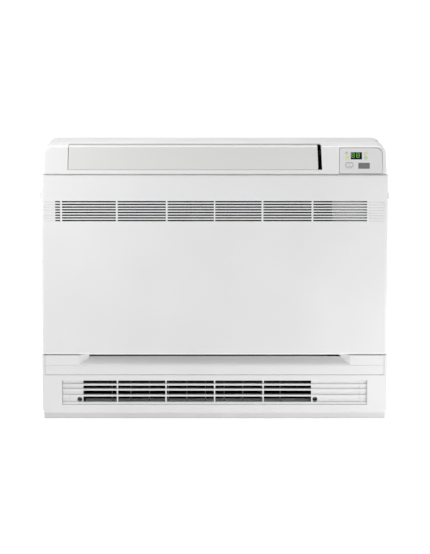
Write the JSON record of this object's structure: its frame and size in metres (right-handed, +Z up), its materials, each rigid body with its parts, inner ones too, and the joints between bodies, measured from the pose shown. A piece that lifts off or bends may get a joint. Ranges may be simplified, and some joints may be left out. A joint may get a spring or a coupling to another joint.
{
  "type": "floor console air conditioner",
  "caption": "Slim floor console air conditioner with slotted hinged front panel, folding top flap, control corner and bottom grille, with fan, coil, filters and ducts inside.",
  "frame": {"origin": "on the floor under the middle of the cabinet", "axes": "+Z up, the front faces -Y and the wall side faces +Y, +X to the right as seen from the front"},
  "size_m": [0.756, 0.215, 0.6],
  "materials": {
    "white_abs": "satin moulded ABS",
    "grey_abs": "moulded ABS, inside",
    "black_abs": "moulded ABS, black",
    "smoked_window": "smoked acrylic",
    "green_lens": "tinted lens",
    "amber_lens": "tinted lens",
    "galvanised_steel": "galvanised sheet",
    "aluminium": "fin stock",
    "copper": "bare copper tube",
    "brass": "machined brass",
    "green_board": "circuit board",
    "foam_grey": "moulded foam and soft hose"
  },
  "bodies": {
    "cabinet": {"base_tray": "white_abs", "bell_mouth": "black_abs", "cable_gland": "black_abs", "circuit_board": "green_board", "control_board": "green_board", "control_cover": "white_abs", "damper_motor": "galvanised_steel", "display_module": "smoked_window", "drain_hose": "foam_grey", "drain_pan": "foam_grey", "electrical_box": "galvanised_steel", "electrical_cover": "white_abs", "evaporator_end_left": "copper", "evaporator_end_right": "copper", "evaporator_fins": "aluminium", "fan_casing": "black_abs", "fan_motor": "galvanised_steel", "front_housing": "white_abs", "gas_nut": "brass", "gas_pipe": "copper", "grille_screw_left": "black_abs", "grille_screw_right": "black_abs", "indicator_1": "green_lens", "indicator_2": "amber_lens", "indicator_3": "amber_lens", "indicator_4": "green_lens", "intake_trim": "white_abs", "liquid_nut": "brass", "liquid_pipe": "copper", "louvre_motor": "galvanised_steel", "lower_duct": "black_abs", "lower_grille": "white_abs", "lower_guard": "black_abs", "motor_bracket": "galvanised_steel", "mounting_plate": "galvanised_steel", "rear_chassis": "white_abs", "receiver_window": "grey_abs", "temperature_sensor": "copper", "terminal_block": "black_abs", "upper_duct": "black_abs", "vane_carrier": "black_abs"},
    "front_panel": {"front_panel": "white_abs", "panel_pin_left": "galvanised_steel", "panel_pin_right": "galvanised_steel"},
    "latch_left": {"latch_left": "white_abs"},
    "latch_right": {"latch_right": "white_abs"},
    "top_louvre": {"top_louvre": "white_abs"},
    "air_vane_1": {"air_vane_1": "black_abs"},
    "air_vane_2": {"air_vane_2": "black_abs"},
    "air_vane_3": {"air_vane_3": "black_abs"},
    "air_vane_4": {"air_vane_4": "black_abs"},
    "air_vane_5": {"air_vane_5": "black_abs"},
    "air_vane_6": {"air_vane_6": "black_abs"},
    "vane_link": {"vane_link": "black_abs"},
    "lower_damper": {"lower_damper": "black_abs"},
    "turbo_fan": {"turbo_fan": "black_abs", "fan_shaft": "galvanised_steel"},
    "power_button": {"power_button": "white_abs"},
    "filter_left": {"filter_left": "black_abs"},
    "filter_right": {"filter_right": "black_abs"}
  },
  "joints": [
    {"name": "panel_hinge", "type": "hinge", "parent": "cabinet", "child": "front_panel", "pos_m": [0, -0.1004, 0.1477], "axis": [1, 0, 0], "range_deg": [0, 30]},
    {"name": "latch_left_slide", "type": "slide", "parent": "front_panel", "child": "latch_left", "axis": [1, 0, 0], "range_m": [0, 0.0025], "stiffness_N_per_m": 300, "springref_m": -0.002},
    {"name": "latch_right_slide", "type": "slide", "parent": "front_panel", "child": "latch_right", "axis": [-1, 0, 0], "range_m": [0, 0.0025], "stiffness_N_per_m": 300, "springref_m": -0.002},
    {"name": "louvre_hinge", "type": "hinge", "parent": "cabinet", "child": "top_louvre", "pos_m": [0, -0.0792, 0.575], "axis": [-1, 0, 0], "range_deg": [0, 55]},
    {"name": "vane_1_turn", "type": "hinge", "parent": "cabinet", "child": "air_vane_1", "pos_m": [-0.25683, -0.0692, 0.55], "axis": [0, 0, 1], "range_deg": [-30, 30]},
    {"name": "vane_2_turn", "type": "hinge", "parent": "cabinet", "child": "air_vane_2", "pos_m": [-0.1705, -0.0692, 0.55], "axis": [0, 0, 1], "range_deg": [-30, 30]},
    {"name": "vane_3_turn", "type": "hinge", "parent": "cabinet", "child": "air_vane_3", "pos_m": [-0.08417, -0.0692, 0.55], "axis": [0, 0, 1], "range_deg": [-30, 30]},
    {"name": "vane_4_turn", "type": "hinge", "parent": "cabinet", "child": "air_vane_4", "pos_m": [0.00217, -0.0692, 0.55], "axis": [0, 0, 1], "range_deg": [-30, 30]},
    {"name": "vane_5_turn", "type": "hinge", "parent": "cabinet", "child": "air_vane_5", "pos_m": [0.0885, -0.0692, 0.55], "axis": [0, 0, 1], "range_deg": [-30, 30]},
    {"name": "vane_6_turn", "type": "hinge", "parent": "cabinet", "child": "air_vane_6", "pos_m": [0.17483, -0.0692, 0.55], "axis": [0, 0, 1], "range_deg": [-30, 30]},
    {"name": "link_slide", "type": "slide", "parent": "cabinet", "child": "vane_link", "axis": [1, 0, 0], "range_m": [-0.00628, 0.00628]},
    {"name": "damper_hinge", "type": "hinge", "parent": "cabinet", "child": "lower_damper", "pos_m": [-0.041, -0.0652, 0.0794], "axis": [-1, 0, 0], "range_deg": [0, 85]},
    {"name": "fan_spin", "type": "hinge", "parent": "cabinet", "child": "turbo_fan", "pos_m": [-0.041, 0.0458, 0.3], "axis": [0, 1, 0], "continuous": true},
    {"name": "button_press", "type": "slide", "parent": "cabinet", "child": "power_button", "axis": [0, 1, 0], "range_m": [0, 0.0008], "stiffness_N_per_m": 800, "springref_m": -0.0008},
    {"name": "filter_left_slide", "type": "slide", "parent": "cabinet", "child": "filter_left", "axis": [0, 0, 1], "range_m": [0, 0.02]},
    {"name": "filter_right_slide", "type": "slide", "parent": "cabinet", "child": "filter_right", "axis": [0, 0, 1], "range_m": [0, 0.02]}
  ],
  "couplings": [
    {"joint": "vane_1_turn", "follows": "link_slide", "rad_per_m": 83.333},
    {"joint": "vane_2_turn", "follows": "link_slide", "rad_per_m": 83.333},
    {"joint": "vane_3_turn", "follows": "link_slide", "rad_per_m": 83.333},
    {"joint": "vane_4_turn", "follows": "link_slide", "rad_per_m": 83.333},
    {"joint": "vane_5_turn", "follows": "link_slide", "rad_per_m": 83.333},
    {"joint": "vane_6_turn", "follows": "link_slide", "rad_per_m": 83.333}
  ]
}
